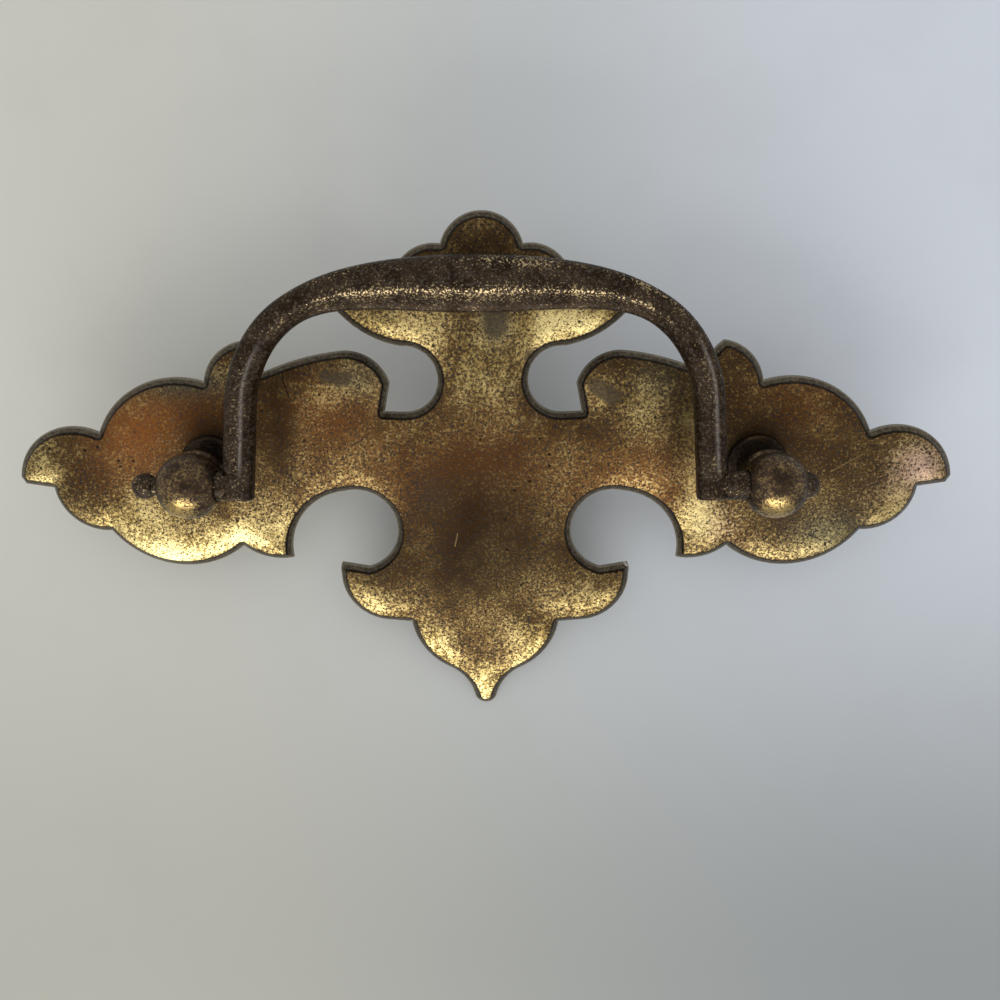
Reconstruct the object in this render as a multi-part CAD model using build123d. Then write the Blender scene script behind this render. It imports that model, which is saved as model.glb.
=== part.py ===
from build123d import *
import math
import os

# A drawer pull: a scalloped backplate, two ball-headed posts with studs, and a swelled
# bail that swings between the ball heads. Millimetres. The back of the plate is Z = 0 and its face looks along +Z. X runs
# through both posts, Y runs up the plate, and the origin is midway between the posts.

# Spacing of the two posts, the size that a drawer front is drilled to.
post_spacing = 76.2
post_x = post_spacing / 2

# Half outline of the plate, clockwise from the top lobe to the foot tip. Each pair is
# a notch or a tip. The arm's points are measured from the post's own centre line.
crest_y = 34.0
top_notch = (5.5, 29.8)
shoulder_notch = (11.0, 27.6)
upper_scroll_tip = (20.5, 22.1)
neck_turn = (11.1, 16.2)
pocket_floor = (11.1, 7.0)
pocket_corner = (post_x - 24.4, 7.1)
arm_shoulder = (post_x - 25.2, 11.1)
arm_top = (post_x - 19.0, 15.6)
leaf_notch = (post_x - 7.9, 12.7)
leaf_tip = (post_x - 5.2, 17.0)
leaf_end = (post_x + 0.5, 11.4)
wing_notch = (post_x + 15.9, 4.2)
wing_tip = (post_x + 27.9, -2.3)
wing_corner = (post_x + 27.3, -3.3)
wing_hook = (post_x + 23.4, -3.9)
lower_wing_notch = (post_x + 15.9, -10.4)
barb_notch = (post_x - 3.1, -12.8)
barb_tip = (post_x - 10.3, -14.6)
cutout_crown = (19.9, -4.5)
cutout_floor = (16.8, -16.1)
lower_scroll_tip = (20.8, -15.4)
lower_scroll_side = (21.0, -17.1)
lower_scroll_end = (14.5, -24.6)
skirt_notch = (10.9, -24.9)
ogee_turn = (5.6, -32.3)
finial_side = (1.6, -37.13)
foot_y = -38.4

# How far the edge bulges out between a point and the next one. Minus scoops it in.
shoulder_rise = 0.82
upper_scroll_rise = 1.2
upper_scroll_under = 1.12
neck_scoop = -4.88
arm_shoulder_rise = 1.30
arm_top_rise = 0.47
leaf_inner_rise = 0.51
leaf_outer_rise = 1.32
arm_lobe_rise = 3.34
wing_lobe_rise = 3.53
lower_wing_rise = 2.04
arm_belly_rise = 4.12
barb_rise = 0.86
cutout_outer_scoop = -2.76
cutout_inner_scoop = -5.88
lower_scroll_tip_rise = 0.15
lower_scroll_rise = 1.93
skirt_rise = 1.08
finial_scoop = -0.73
cutout_floor_round = 0.8

# Section of the pressed plate: rim, bevel, a small quirk, and a face that is crowned
# in two bands round its edge. The back is hollow inside a flat margin.
rim_height = 0.3
bevel_height = 0.85
bevel_width = 0.8
quirk_height = 0.12
crown_steep_width = 1.7
crown_steep_rise = 0.38
crown_shallow_width = 2.4
crown_shallow_rise = 0.22
hollow_margin = 2.4
hollow_depth = 0.5

# Posts.
stud_radius = 2.08
stud_length = 12.7
shoulder_radius = 2.3
shoulder_fit = 0.02
stud_chamfer = 0.4
flange_radius = 4.2
flange_thickness = 1.1
flange_edge_round = 0.5
waist_radius = 2.5
collar_radius = 3.8
collar_thickness = 1.1
ball_radius = 4.3
ball_height = 10.4
collar_root = 3.0
collar_drop_to_ball = 3.2
ball_face = 3.6
pin_clearance = 0.15

# Bail: its side play between the ball heads, the path of its centre line measured from
# the pin axis, and its sections. The legs run straight to the knees, and the pulls are
# what the grip's curve bends toward.
leg_end_play = 1.65
leg_lean = 0.5
knee_reach = 11.0
knee_pull = 10.3
shoulder_pull_x = 17.9
shoulder_pull_reach = 41.45
middle_pull_reach = 7.15
leg_thickness = 4.0
grip_width = 7.3
grip_thickness = 6.0
swell_width = 5.8
swell_thickness = 5.0
elbow_end = 0.2
swell_start = 0.34
corner_share = 0.34
foot_drop = 1.9
foot_round = 0.5
pin_radius = 1.9
pin_end = 2.6
pin_neck_radius = 1.2
pin_tip_radius = 1.7
pin_tip_reach = 4.92
end_play_shift = -0.85
rest_clearance = 0.3

# Places that follow from the sizes above.
leg_x = post_x - ball_face - leg_thickness / 2 - leg_end_play
bevel_top = rim_height + bevel_height
crown_edge = bevel_top + quirk_height
crown_break = crown_edge + crown_steep_rise
plate_top = crown_break + crown_shallow_rise
hinge_height = plate_top + ball_height


def edge_between(start, end, rise):
    """One stretch of the outline: straight, or an arc that bulges by the rise."""
    if rise == 0:
        return Line(start, end)
    run = math.hypot(end[0] - start[0], end[1] - start[1])
    middle_x = (start[0] + end[0]) / 2 - rise * (end[1] - start[1]) / run
    middle_y = (start[1] + end[1]) / 2 + rise * (end[0] - start[0]) / run
    return ThreePointArc(start, (middle_x, middle_y), end)


def plate_outline():
    """The whole outline as a face: the right half, its mirror image and both tips."""
    stretches = (
        (top_notch, shoulder_notch, shoulder_rise),
        (shoulder_notch, upper_scroll_tip, upper_scroll_rise),
        (upper_scroll_tip, neck_turn, upper_scroll_under),
        (neck_turn, pocket_floor, neck_scoop),
        (pocket_floor, pocket_corner, 0),
        (pocket_corner, arm_shoulder, 0),
        (arm_shoulder, arm_top, arm_shoulder_rise),
        (arm_top, leaf_notch, arm_top_rise),
        (leaf_notch, leaf_tip, leaf_inner_rise),
        (leaf_tip, leaf_end, leaf_outer_rise),
        (leaf_end, wing_notch, arm_lobe_rise),
        (wing_notch, wing_tip, wing_lobe_rise),
        (wing_tip, wing_corner, 0),
        (wing_corner, wing_hook, 0),
        (wing_hook, lower_wing_notch, lower_wing_rise),
        (lower_wing_notch, barb_notch, arm_belly_rise),
        (barb_notch, barb_tip, barb_rise),
        (barb_tip, cutout_crown, cutout_outer_scoop),
        (cutout_crown, cutout_floor, cutout_inner_scoop),
        (cutout_floor, lower_scroll_tip, 0),
        (lower_scroll_tip, lower_scroll_side, lower_scroll_tip_rise),
        (lower_scroll_side, lower_scroll_end, lower_scroll_rise),
        (lower_scroll_end, skirt_notch, 0),
        (skirt_notch, ogee_turn, skirt_rise),
        (ogee_turn, finial_side, finial_scoop),
    )
    right_half = Curve() + [edge_between(*stretch) for stretch in stretches]
    left_half = mirror(right_half, about=Plane.YZ)
    top_lobe = ThreePointArc((-top_notch[0], top_notch[1]), (0, crest_y), top_notch)
    foot_tip = ThreePointArc((-finial_side[0], finial_side[1]), (0, foot_y), finial_side)
    outline = make_face(right_half.edges() + left_half.edges() + [top_lobe, foot_tip])
    floor_corners = outline.vertices().filter_by(
        lambda corner: math.dist((abs(corner.X), corner.Y), cutout_floor) < cutout_floor_round
    )
    return fillet(floor_corners, cutout_floor_round)


def tapered_band(wire, base_height, rise, run):
    """A band on a wire whose sides lean in by the run while they climb the rise."""
    lean = math.degrees(math.atan(run / rise))
    band = Solid.extrude_taper(Face(wire), Vector(0, 0, rise), lean)
    band = Pos(0, 0, base_height - band.bounding_box().min.Z) * band
    return band


def top_wire(solid):
    """Outline of a solid's highest face, laid back on the plane Z = 0."""
    top = solid.faces().sort_by(Axis.Z)[-1]
    return Pos(0, 0, -top.center().Z) * top.outer_wire()


def make_backplate():
    """Pressed plate: bevelled rim, crowned face, hollow back and two stud holes."""
    outline = plate_outline().face().outer_wire()
    rim = extrude(Face(outline), amount=rim_height, dir=(0, 0, 1))
    bevel = tapered_band(outline, rim_height, bevel_height, bevel_width)
    face_wire = top_wire(bevel)
    quirk = Pos(0, 0, bevel_top) * extrude(Face(face_wire), amount=quirk_height, dir=(0, 0, 1))
    steep = tapered_band(face_wire, crown_edge, crown_steep_rise, crown_steep_width)
    shallow = tapered_band(top_wire(steep), crown_break, crown_shallow_rise, crown_shallow_width)
    hollow_floor = offset(plate_outline(), amount=-hollow_margin)
    hollow = extrude(hollow_floor, amount=hollow_depth, dir=(0, 0, 1))
    stud_hole = Cylinder(shoulder_radius + shoulder_fit, 3 * plate_top)
    holes = [Pos(side * post_x, 0, 0) * stud_hole for side in (-1, 1)]
    return Part() + rim + bevel + quirk + steep + shallow - hollow - holes


def make_post(side):
    """Stud, shoulder in the plate, seat flange, waist, collar and ball head, bored for the bail's pin."""
    ball_low = math.sqrt(ball_radius**2 - collar_drop_to_ball**2)
    collar_top = ball_height - collar_drop_to_ball
    collar_bottom = collar_top - collar_thickness
    profile = Line((0, -plate_top - stud_length), (stud_radius - stud_chamfer, -plate_top - stud_length))
    profile += Line(profile @ 1, (stud_radius, -plate_top - stud_length + stud_chamfer))
    profile += Line(profile @ 1, (stud_radius, -plate_top))
    profile += Line(profile @ 1, (shoulder_radius, -plate_top))
    profile += Line(profile @ 1, (shoulder_radius, 0))
    profile += Line(profile @ 1, (flange_radius, 0))
    profile += Line(profile @ 1, (flange_radius, flange_thickness - flange_edge_round))
    profile += RadiusArc(
        profile @ 1, (flange_radius - flange_edge_round, flange_thickness), -flange_edge_round
    )
    profile += Line(profile @ 1, (collar_root, flange_thickness))
    profile += ThreePointArc(
        profile @ 1, (waist_radius, (flange_thickness + collar_bottom) / 2), (collar_root, collar_bottom)
    )
    profile += ThreePointArc(
        profile @ 1, (collar_radius, collar_bottom + collar_thickness / 2), (ball_low, collar_top)
    )
    profile += ThreePointArc(profile @ 1, (ball_radius, ball_height), (0, ball_height + ball_radius))
    profile += Line(profile @ 1, (0, -plate_top - stud_length))
    post = revolve(Plane.XZ * make_face(profile), Axis.Z)
    inner_side = Box(2 * ball_radius, 3 * ball_radius, 2 * collar_drop_to_ball)
    face_cut = Pos(ball_face + ball_radius, 0, ball_height) * inner_side
    bore = Pos(0, 0, ball_height) * Rot(0, 90, 0) * Cylinder(pin_radius + pin_clearance, 4 * ball_radius)
    post = post - face_cut - bore
    post = Pos(0, 0, plate_top) * post
    if side > 0:
        post = mirror(post, about=Plane.YZ)
    return Pos(side * post_x, 0, 0) * post


def bail_section(path, share, width, thickness):
    """A round-cornered section square to the path at a share of its run."""
    plane = Plane(origin=path @ share, x_dir=(0, 0, 1), z_dir=path % share)
    return plane * RectangleRounded(thickness, width, corner_share * min(width, thickness))


def make_leg():
    """Straight leg of the bail with its foot, pin, neck and ball tip, on the right."""
    leg = Line((leg_x, -foot_drop), (leg_x - leg_lean, knee_reach))
    section = bail_section(leg, 0, leg_thickness, leg_thickness)
    shank = extrude(section, amount=leg.length, dir=leg % 0)
    shank = fillet(shank.faces().sort_by(Axis.Y)[0].edges(), foot_round)
    reach = post_x + pin_end
    pin = Pos((leg_x + reach) / 2, 0, 0) * Rot(0, 90, 0) * Cylinder(pin_radius, reach - leg_x)
    tip_x = post_x + pin_tip_reach
    neck = Pos((leg_x + tip_x) / 2, 0, 0) * Rot(0, 90, 0) * Cylinder(pin_neck_radius, tip_x - leg_x)
    tip = Pos(tip_x, 0, 0) * Sphere(pin_tip_radius)
    return shank + pin + neck + tip


def grip_path():
    """Centre line of the grip, from knee to knee, in the plane of the bail."""
    knee_x = leg_x - leg_lean
    lean = leg_lean / (knee_reach + foot_drop)
    right_side = [
        (shoulder_pull_x, shoulder_pull_reach),
        (knee_x - lean * knee_pull, knee_reach + knee_pull),
        (knee_x, knee_reach),
    ]
    left_side = [(-x, y) for x, y in reversed(right_side)]
    return Bezier(*left_side, (0, middle_pull_reach), *right_side)


def make_grip():
    """Curved grip of the bail, swelled in the middle."""
    path = grip_path()
    half_sizes = [
        (0.0, leg_thickness, leg_thickness),
        (elbow_end, leg_thickness, leg_thickness),
        (swell_start, swell_width, swell_thickness),
    ]
    middle = [(0.5, grip_width, grip_thickness)]
    other_half = [(1 - share, width, thickness) for share, width, thickness in reversed(half_sizes)]
    sections = [bail_section(path, *size) for size in half_sizes + middle + other_half]
    return sweep(sections, path=path, multisection=True)


def make_bail():
    """Swelled bail with square feet and pins, at rest on the face of the plate."""
    leg = make_leg()
    bail = make_grip() + leg + mirror(leg, about=Plane.YZ)
    return Pos(end_play_shift, 0, hinge_height) * Rot(-rest_tilt(), 0, 0) * bail


def rest_tilt():
    """How far the bail dips when the grip's outer corner rests on the plate."""
    corner = corner_share * grip_thickness
    reach = (grip_path() @ 0.5).Y + grip_width / 2 - corner
    below = grip_thickness / 2 - corner
    drop = ball_height - rest_clearance - corner
    tilt = math.asin(drop / math.hypot(reach, below)) - math.atan2(below, reach)
    return math.degrees(tilt)


os.makedirs("parts", exist_ok=True)
pieces = {
    "backplate": make_backplate(),
    "left_post": make_post(-1),
    "right_post": make_post(1),
    "bail": make_bail(),
}
for name, piece in pieces.items():
    solid = piece.solids()[0]
    export_step(solid, f"parts/{name}.step")
    print(name, len(piece.solids()), solid.is_valid, round(solid.volume, 1))
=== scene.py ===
# %% [markdown]
# # An old brass drawer pull
# The construction model gives four solids: a scalloped backplate, two ball-headed posts
# and a swinging bail. They set every size. This notebook keeps those sizes and
# gives each solid the surface that a real pull has after a century of hands: soft crowned
# faces, a fine thread on the studs, worn brass on the slopes and dark patina between.
# Part of the bright brass is a painted highlight, and part of the dark is painted shade.

# %% Load the frame
import math
import bpy
import numpy as np
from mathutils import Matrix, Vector
from mathutils.geometry import delaunay_2d_cdt


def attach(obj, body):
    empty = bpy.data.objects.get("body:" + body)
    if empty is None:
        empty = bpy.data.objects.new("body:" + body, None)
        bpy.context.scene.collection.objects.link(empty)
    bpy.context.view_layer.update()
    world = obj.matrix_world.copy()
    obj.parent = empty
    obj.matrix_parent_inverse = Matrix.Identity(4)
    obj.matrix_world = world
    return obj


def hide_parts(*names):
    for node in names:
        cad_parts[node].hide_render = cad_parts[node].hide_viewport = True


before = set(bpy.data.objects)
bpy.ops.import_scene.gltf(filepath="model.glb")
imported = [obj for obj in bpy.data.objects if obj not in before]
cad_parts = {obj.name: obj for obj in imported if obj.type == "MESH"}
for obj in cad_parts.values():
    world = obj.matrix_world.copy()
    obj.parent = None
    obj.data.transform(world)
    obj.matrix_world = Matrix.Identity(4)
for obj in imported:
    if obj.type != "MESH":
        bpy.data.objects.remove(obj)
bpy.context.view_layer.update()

# %% [markdown]
# ## Camera
# The photograph was taken from about 137 mm above the plate, leaning 18 degrees towards
# its top edge. The lens is that of a phone: its focal length is as long as the picture
# is wide, so a 36 mm sensor gets a lens just over 36 mm.

# %% Place the camera
camera_data = bpy.data.cameras.new("photo_camera")
camera_data.sensor_width = 36.0
camera_data.lens = 36.108
camera_data.clip_start = 0.005
camera = bpy.data.objects.new("photo_camera", camera_data)
camera.location = (0.0037387, 0.0388723, 0.1367752)
camera.rotation_euler = (-0.3171230, 0.0090924, -0.0047323)
bpy.context.scene.collection.objects.link(camera)
bpy.context.scene.camera = camera
print("camera at", [round(v, 4) for v in camera.location])

# %% [markdown]
# ## Putting a surface into Blender
# Every new piece is worked out as arrays of points in millimetres. One helper turns such
# arrays into a mesh in metres, smooth where its faces bend gently and sharp where they
# meet at a real edge. Another joins neighbouring rings of points with quads.

# %% Helpers for surfaces
MM = 0.001


def quads_between_rings(rings, around):
    """Corner numbers of the quads between closed rings of points laid one after another.
    Point j of ring i has the number i * around + j, and the first follows the last."""
    i, j = np.meshgrid(np.arange(rings - 1), np.arange(around), indexing="ij")
    k = (j + 1) % around
    low, high = i * around, (i + 1) * around
    return np.stack([low + j, low + k, high + k, high + j], -1).reshape(-1, 4)


def make_piece(name, points, faces, sharp_degrees=32.0):
    """A mesh object at the origin from points in millimetres and lists of corner numbers."""
    mesh = bpy.data.meshes.new(name)
    mesh.from_pydata((np.asarray(points) * MM).tolist(), [], [list(face) for face in faces])
    mesh.validate()
    mesh.shade_smooth()
    mesh.set_sharp_from_angle(angle=math.radians(sharp_degrees))
    piece = bpy.data.objects.new(name, mesh)
    bpy.context.scene.collection.objects.link(piece)
    return piece


def lathe(profile, around):
    """Points and quads of a turned form. The profile is (radius, height) pairs, and point
    (r, h) at the angle a goes to (r cos a, r sin a, h). Ends on the axis are closed."""
    r, h = np.asarray(profile, float).T
    a = np.linspace(0, 2 * np.pi, around, endpoint=False)
    rows = [r[:, None] * np.cos(a), r[:, None] * np.sin(a), np.repeat(h[:, None], around, 1)]
    return np.stack(rows, -1).reshape(-1, 3), quads_between_rings(len(r), around)


def arc(centre, radius, start, end, count):
    """Points on an arc: centre plus radius times (cos, sin) from start to end, in degrees."""
    a = np.radians(np.linspace(start, end, count))
    return np.stack([centre[0] + radius * np.cos(a), centre[1] + radius * np.sin(a)], -1)


print("helpers ready")

# %% [markdown]
# ## Outline of the backplate
# The real plate was cut to a pattern of lobes and notches, so its edge is a chain of
# arcs. Each stretch is given by its corner and by how far it bulges from the straight
# line to the next corner. Sampled every fifth of a millimetre, it reads as a true curve.

# %% Outline as a chain of arcs
RIGHT_HALF = [
    ((5.5, 29.8), 0.82), ((11.0, 27.6), 1.2), ((20.5, 22.1), 1.12), ((11.1, 16.2), -4.88),
    ((11.1, 7.0), 0), ((13.7, 7.1), 0), ((12.9, 11.1), 1.30), ((19.1, 15.6), 0.47),
    ((30.2, 12.7), 0.51), ((32.9, 17.0), 1.32), ((38.6, 11.4), 3.34), ((54.0, 4.2), 3.53),
    ((66.0, -2.3), 0), ((65.4, -3.3), 0), ((61.5, -3.9), 2.04), ((54.0, -10.4), 4.12),
    ((35.0, -12.8), 0.86), ((27.8, -14.6), -2.76), ((19.9, -4.5), -5.88), ((16.8, -16.1), 0),
    ((20.8, -15.4), 0.15), ((21.0, -17.1), 1.93), ((14.5, -24.6), 0), ((10.9, -24.9), 1.08),
    ((5.6, -32.3), -0.73), ((1.6, -37.13), None),
]
TOP_LOBE_RISE, FOOT_RISE = 4.2, 1.27
SAMPLE = 0.2


def stretch(start, end, rise):
    """Samples from start up to, but not with, end. A bulging stretch is the arc about
    middle + left * (rise - radius), where the radius is (half chord squared + rise squared)
    over twice the rise."""
    start, end = np.array(start, float), np.array(end, float)
    chord = end - start
    length = np.hypot(*chord)
    count = max(2, int(math.ceil(length / SAMPLE)))
    t = np.arange(count) / count
    if not rise:
        return start + t[:, None] * chord
    along, left = chord / length, np.array([-chord[1], chord[0]]) / length
    side, half = np.sign(rise), length / 2
    radius = (half ** 2 + rise ** 2) / (2 * abs(rise))
    swing = math.asin(min(1.0, half / radius))
    a = -swing + 2 * swing * t
    centre = (start + end) / 2 + left * (rise - side * radius)
    return centre + radius * (side * np.cos(a)[:, None] * left + np.sin(a)[:, None] * along)


corners = [point for point, rise in RIGHT_HALF]
rises = [rise for point, rise in RIGHT_HALF]
right = [stretch(*ends) for ends in zip(corners[:-1], corners[1:], rises)]
right = np.vstack(right + [np.array([corners[-1]])])
left = right[::-1] * (-1, 1)
top = stretch(left[-1], right[0], TOP_LOBE_RISE)[1:]
foot = stretch(right[-1], left[0], FOOT_RISE)[1:]
outline = np.vstack([right, foot, left, top])
print("outline", len(outline), "samples, width", round(np.ptp(outline[:, 0]), 1), "mm")

# %% [markdown]
# ## Distance from the edge
# Everything on the plate's face follows its edge: the bevel, the little step above it
# and the crown that swells inwards. So the height of the face is a function of one
# number, the distance to the nearest point of the outline.

# %% Distance to the outline
BLOCK = 1500  # points worked out at once, to keep the arrays small


def distance_to_outline(points):
    """Distance of each point to the nearest stretch between two outline samples: the
    point is dropped onto each short segment, clamped to its ends, and the least is kept."""
    run = np.roll(outline, -1, axis=0) - outline
    span = (run ** 2).sum(1)
    nearest = []
    for k in range(0, len(points), BLOCK):
        offset = points[k:k + BLOCK, None, :] - outline
        t = np.clip((offset * run).sum(-1) / span, 0, 1)
        nearest.append(np.sqrt(((offset - t[..., None] * run) ** 2).sum(-1)).min(1))
    return np.concatenate(nearest)


def soft_step(low, high, value):
    """0 below low, 1 above high, and a smooth cubic between."""
    t = np.clip((value - low) / (high - low), 0, 1)
    return t * t * (3 - 2 * t)


print("from the middle of the plate to its edge", distance_to_outline(np.zeros((1, 2))), "mm")

# %% Heights of the face and the back
RIM, BEVEL_WIDE, BEVEL_TALL = 0.3, 0.8, 0.85
QUIRK_WIDE, QUIRK_TALL = 0.06, 0.12
CROWN_REACH, CROWN_TALL = 5.0, 0.6
PLATE_TOP = RIM + BEVEL_TALL + QUIRK_TALL + CROWN_TALL
HOLLOW_STARTS, HOLLOW_FLAT, HOLLOW_DEEP = 2.4, 3.0, 0.5


def face_height(edge):
    """Height of the plate's face: a rim, a straight bevel, a steep little step that is
    called a quirk, then a crown that rises like a quarter of a parabola."""
    bevel = RIM + np.clip(edge / BEVEL_WIDE, 0, 1) * BEVEL_TALL
    quirk = QUIRK_TALL * np.clip((edge - BEVEL_WIDE) / QUIRK_WIDE, 0, 1)
    inward = np.clip((edge - BEVEL_WIDE - QUIRK_WIDE) / CROWN_REACH, 0, 1)
    return bevel + quirk + CROWN_TALL * (1 - (1 - inward) ** 2)


def back_height(edge):
    """Height of the plate's back: a flat margin, then a soft step up into a hollow."""
    return HOLLOW_DEEP * soft_step(HOLLOW_STARTS, HOLLOW_FLAT, edge)


print("face from", face_height(np.array([0.0]))[0], "to", face_height(np.array([9.0]))[0], "mm")

# %% [markdown]
# ## Mesh of the backplate
# A plain grid would cut steps into the bevel. Instead the points are laid on rings at a
# fixed distance from the edge, which keeps each crease crisp, with an even scatter of
# points further in. A Delaunay triangulation joins them, the rings held as its edges.

# %% Rings along the edge
CORNER_TURN = math.radians(8)
FAN, LEAST_COSINE = 9, 0.2
RING_DEPTHS = (0.3, BEVEL_WIDE, BEVEL_WIDE + QUIRK_WIDE, 1.2, 1.7, 2.3, 3.0)
RING_SLACK, SHORTEST_LINK, LONGEST_LINK = 0.004, 1e-3, 2.2 * SAMPLE
before = outline - np.roll(outline, 1, axis=0)
after = np.roll(outline, -1, axis=0) - outline
before /= np.linalg.norm(before, axis=1, keepdims=True)
after /= np.linalg.norm(after, axis=1, keepdims=True)
crossed = before[:, 0] * after[:, 1] - before[:, 1] * after[:, 0]
turn = np.arctan2(crossed, (before * after).sum(1))
inward_before = np.stack([before[:, 1], -before[:, 0]], -1)
inward_after = np.stack([after[:, 1], -after[:, 0]], -1)


def ring_rays():
    """Base points and inward rays, in order along the edge. A smooth sample has one ray, a
    notch has a fan of them, and a tip has the mitre ray, which is 1 / cos(half turn) long."""
    is_corner = np.abs(turn) > CORNER_TURN
    is_notch = is_corner & (turn > 0)
    count = np.where(is_notch, FAN, 1)
    i = np.repeat(np.arange(len(outline)), count)
    place_in_fan = np.arange(len(i)) - (np.cumsum(count) - count)[i]
    share = np.where(is_notch[i], place_in_fan / (FAN - 1), 0.5)[:, None]
    ray = inward_before[i] * (1 - share) + inward_after[i] * share
    ray /= np.linalg.norm(ray, axis=1, keepdims=True)
    mitre = np.where(is_corner & ~is_notch, np.maximum(LEAST_COSINE, np.cos(turn / 2)), 1.0)
    return outline[i], ray / mitre[i][:, None]


def chain(first, count):
    """Links from each of count numbered points to the next, and from the last to the first."""
    number = np.arange(first, first + count)
    return np.stack([number, np.roll(number, -1)], -1)


ray_bases, rays = ring_rays()
points, links = [outline], [chain(0, len(outline))]
count = len(outline)
for depth in RING_DEPTHS:
    ring = ray_bases + rays * depth
    keep = distance_to_outline(ring) > depth - RING_SLACK
    number = np.cumsum(keep) - 1 + count
    gap = np.linalg.norm(np.roll(ring, -1, axis=0) - ring, axis=1)
    pair = keep & np.roll(keep, -1) & (gap < LONGEST_LINK) & (gap > SHORTEST_LINK)
    links.append(np.stack([number[pair], np.roll(number, -1)[pair]], -1))
    points.append(ring[keep])
    count += int(keep.sum())
print("rings", count, "points")

# %% Points round the stud holes and further in
STUD_HOLE, POST_X, HOLE_POINTS = 2.33, 38.1, 64
SPACING, ROW_SHARE = 0.85, 0.866
CLEAR_OF_EDGE, CLEAR_OF_HOLE = 3.4, 0.3
hole_ring = arc((0, 0), STUD_HOLE, 0, 360, HOLE_POINTS + 1)[:-1]
hole_start = count
for side in (-1, 1):
    points.append(hole_ring + (side * POST_X, 0))
    links.append(chain(count, HOLE_POINTS))
    count += HOLE_POINTS


def inside_outline(test):
    """True where a line to the right of the point crosses the outline an odd number of times."""
    a, b = outline, np.roll(outline, -1, axis=0)
    answer = []
    for k in range(0, len(test), BLOCK):
        x, y = test[k:k + BLOCK, None, 0], test[k:k + BLOCK, None, 1]
        crosses = (a[:, 1] > y) != (b[:, 1] > y)
        with np.errstate(divide="ignore", invalid="ignore"):
            at = a[:, 0] + (y - a[:, 1]) * (b[:, 0] - a[:, 0]) / (b[:, 1] - a[:, 1])
        answer.append((crosses & (x < at)).sum(1) % 2 == 1)
    return np.concatenate(answer)


def from_posts(at):
    """Distance of each point to the axis of the nearer post."""
    return np.minimum(*(np.hypot(at[:, 0] + x, at[:, 1]) for x in (-POST_X, POST_X)))


row, column = np.meshgrid(np.arange(-46, 46), np.arange(-80, 81), indexing="ij")
scatter = [(column + 0.5 * (row % 2)) * SPACING, row * SPACING * ROW_SHARE]
scatter = np.stack(scatter, -1).reshape(-1, 2)
scatter = scatter[inside_outline(scatter)]
clear = distance_to_outline(scatter) > CLEAR_OF_EDGE
scatter = scatter[clear & (from_posts(scatter) > STUD_HOLE + CLEAR_OF_HOLE)]
points.append(scatter)
print("scatter", len(scatter), "points")

# %% Triangulate the plate
MERGE, SLIVER, HOLE_SLACK = 1e-5, 1e-9, 0.02
flat, edges = np.vstack(points), np.vstack(links)
cut = delaunay_2d_cdt([Vector(p) for p in flat.tolist()], edges.tolist(), [], 1, MERGE)
flat = np.array([tuple(p) for p in cut[0]])
triangles = np.array([face for face in cut[2] if len(face) == 3])
new_number = {old: new for new, olds in enumerate(cut[3]) for old in olds}
edge_loop = np.array([new_number[i] for i in range(len(outline))])
hole_numbers = np.array([new_number[i] for i in range(hole_start, hole_start + 2 * HOLE_POINTS)])
hole_loops = hole_numbers.reshape(2, HOLE_POINTS)

corner_a, corner_b, corner_c = (flat[triangles[:, k]] for k in range(3))
one, two = corner_b - corner_a, corner_c - corner_a
doubled_area = one[:, 0] * two[:, 1] - one[:, 1] * two[:, 0]
triangles[doubled_area < 0] = triangles[doubled_area < 0][:, ::-1]
centre = (corner_a + corner_b + corner_c) / 3
solid = (from_posts(centre) > STUD_HOLE - HOLE_SLACK) & inside_outline(centre)
triangles = triangles[solid & (np.abs(doubled_area) > SLIVER)]
print("plate", len(flat), "points", len(triangles), "triangles on the face")

# %% [markdown]
# ## Softening the crown
# Where two edges are equally near, a height that follows the nearest one has a crease. The
# pressed plate has none, so the crown is relaxed: each point moves a little towards the
# mean of its neighbours, forty times, and the bevel is held. The neighbours are weighted by
# the cotangents of the angles across from each edge, so the uneven mesh leaves no mark.

# %% Raise the face
RELAX_FROM, RELAX_FULL, RELAX_SHARE, RELAX_ROUNDS = 1.3, 3.6, 0.5, 40
LEAST_PULL = 0.1
edge_mm = distance_to_outline(flat)
front = face_height(edge_mm)


def corner_cotangent(i, j, k):
    """Cotangent of each triangle's angle at its corner i: dot product over cross product."""
    one, two = (flat[triangles[:, corner]] - flat[triangles[:, i]] for corner in (j, k))
    return (one * two).sum(1) / np.abs(one[:, 0] * two[:, 1] - one[:, 1] * two[:, 0])


pairs = np.vstack([triangles[:, [1, 2]], triangles[:, [2, 0]], triangles[:, [0, 1]]])
pull = [corner_cotangent(0, 1, 2), corner_cotangent(1, 2, 0), corner_cotangent(2, 0, 1)]
pull = np.clip(np.concatenate(pull), -1, 20)
pull_sum = np.bincount(pairs.ravel(), np.repeat(pull, 2), len(flat))
free = RELAX_SHARE * soft_step(RELAX_FROM, RELAX_FULL, edge_mm)
for again in range(RELAX_ROUNDS):
    total = np.bincount(pairs[:, 0], pull * front[pairs[:, 1]], len(flat))
    total += np.bincount(pairs[:, 1], pull * front[pairs[:, 0]], len(flat))
    mean = total / np.maximum(pull_sum, LEAST_PULL)
    front = front + free * (mean - front) * (pull_sum > LEAST_PULL)
front = np.minimum(front, PLATE_TOP)
print("crown", round(float(front.max()), 2), "mm high")

# %% Close the plate
PLATE_SHARP = 24.0
back = back_height(edge_mm)
plate_points = np.vstack([np.column_stack([flat, front]), np.column_stack([flat, back])])
size = len(flat)


def wall(loop):
    """Quads from the front loop down to the back loop, facing left of the way it runs."""
    following = np.roll(loop, -1)
    return np.stack([loop, following, following + size, loop + size], -1)


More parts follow.
